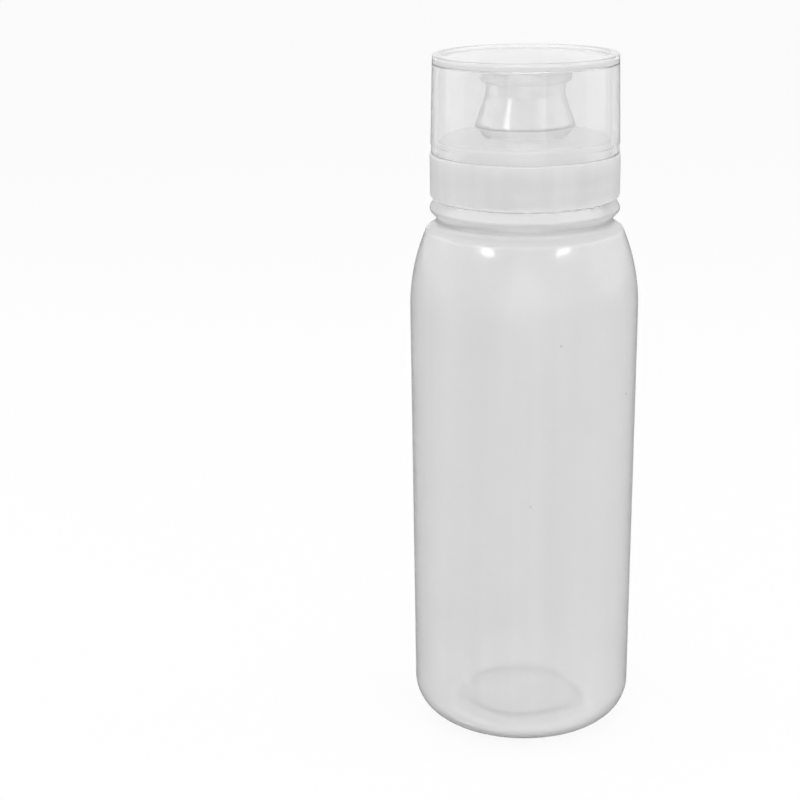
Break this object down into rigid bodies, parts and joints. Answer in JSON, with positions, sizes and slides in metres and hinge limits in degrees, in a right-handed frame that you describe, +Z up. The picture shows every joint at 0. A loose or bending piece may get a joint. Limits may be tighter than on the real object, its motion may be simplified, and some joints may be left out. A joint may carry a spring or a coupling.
{
  "type": "condiment squeeze bottle",
  "caption": "Tall round translucent squeeze bottle with a wide screw cap, a push-pull pouring spout on the cap's stem and a clear pull-off overcap.",
  "frame": {"origin": "centre of the bottle's foot ring, on the table", "axes": "+Z up along the bottle's axis; the bottle is round, so +X is any side of it"},
  "size_m": [0.066, 0.066, 0.1995],
  "materials": {
    "bottle_plastic": "uncoloured translucent low-density polyethylene, satin with a faint milky haze",
    "gasket_silicone": "uncoloured silicone rubber, smooth",
    "cap_plastic": "uncoloured translucent polypropylene, satin, milkier than the bottle because it is thicker",
    "spout_plastic": "uncoloured translucent low-density polyethylene, smooth",
    "overcap_plastic": "clear polypropylene, glossy"
  },
  "bodies": {
    "bottle": {"bottle": "bottle_plastic"},
    "gasket": {"sealing_gasket": "gasket_silicone"},
    "screw_cap": {"screw_cap": "cap_plastic"},
    "spout": {"push_pull_spout": "spout_plastic"},
    "overcap": {"overcap": "overcap_plastic"}
  },
  "joints": [
    {"name": "cap_lift", "type": "slide", "parent": "bottle", "child": "gasket", "axis": [0, 0, 1], "range_m": [0, 0.0105]},
    {"name": "cap_unscrew", "type": "hinge", "parent": "gasket", "child": "screw_cap", "pos_m": [0, 0, 0.1656], "axis": [0, 0, 1], "range_deg": [0, 900]},
    {"name": "spout_pull", "type": "slide", "parent": "screw_cap", "child": "spout", "axis": [0, 0, 1], "range_m": [0, 0.0045]},
    {"name": "overcap_lift", "type": "slide", "parent": "spout", "child": "overcap", "axis": [0, 0, 1], "range_m": [0, 0.045]}
  ],
  "couplings": [
    {"joint": "cap_lift", "follows": "cap_unscrew", "m_per_rad": 0.00066845}
  ]
}
